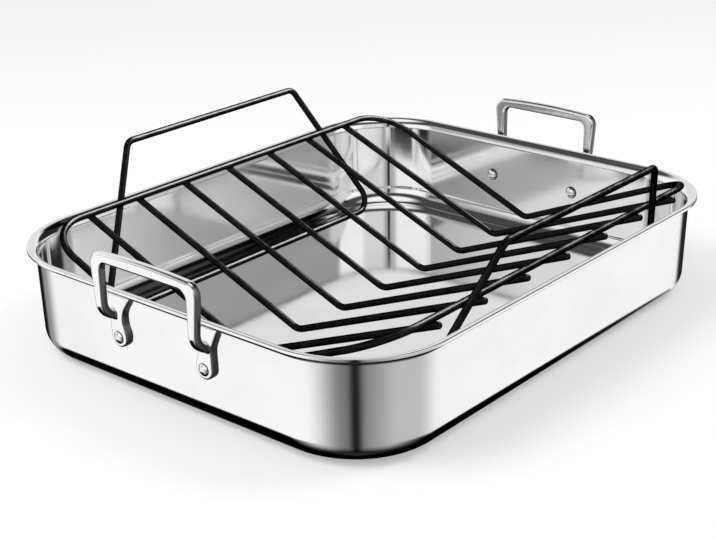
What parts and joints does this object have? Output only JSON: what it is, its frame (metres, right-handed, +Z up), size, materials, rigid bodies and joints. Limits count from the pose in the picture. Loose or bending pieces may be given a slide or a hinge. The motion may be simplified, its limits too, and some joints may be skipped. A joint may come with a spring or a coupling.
{
  "type": "roasting pan with rack",
  "caption": "Rectangular steel roasting pan with riveted loop handles on the short sides and a lift-out non-stick V rack of round wire.",
  "frame": {"origin": "middle of the pan's underside, on the surface that the pan stands on", "axes": "+X along the long side towards the far handle, +Y across the pan towards the left rack loop, +Z up"},
  "size_m": [0.436, 0.334, 0.1159],
  "materials": {
    "polished_steel": "polished stainless steel, mirror bright outside and inside",
    "cast_steel": "cast stainless steel, polished",
    "rivet_steel": "polished stainless steel rivets",
    "nonstick_wire": "satin black non-stick coating on steel wire"
  },
  "bodies": {
    "pan": {"pan_shell": "polished_steel", "near_handle": "cast_steel", "far_handle": "cast_steel", "near_handle_rivets": "rivet_steel", "far_handle_rivets": "rivet_steel"},
    "rack": {"rack_frame": "nonstick_wire", "cross_wire_1": "nonstick_wire", "cross_wire_2": "nonstick_wire", "cross_wire_3": "nonstick_wire", "cross_wire_4": "nonstick_wire", "cross_wire_5": "nonstick_wire", "cross_wire_6": "nonstick_wire", "cross_wire_7": "nonstick_wire", "left_rack_loop": "nonstick_wire", "right_rack_loop": "nonstick_wire"}
  },
  "joints": [
    {"name": "rack_lift", "type": "slide", "parent": "pan", "child": "rack", "axis": [0, 0, 1], "range_m": [0, 0.12]}
  ]
}
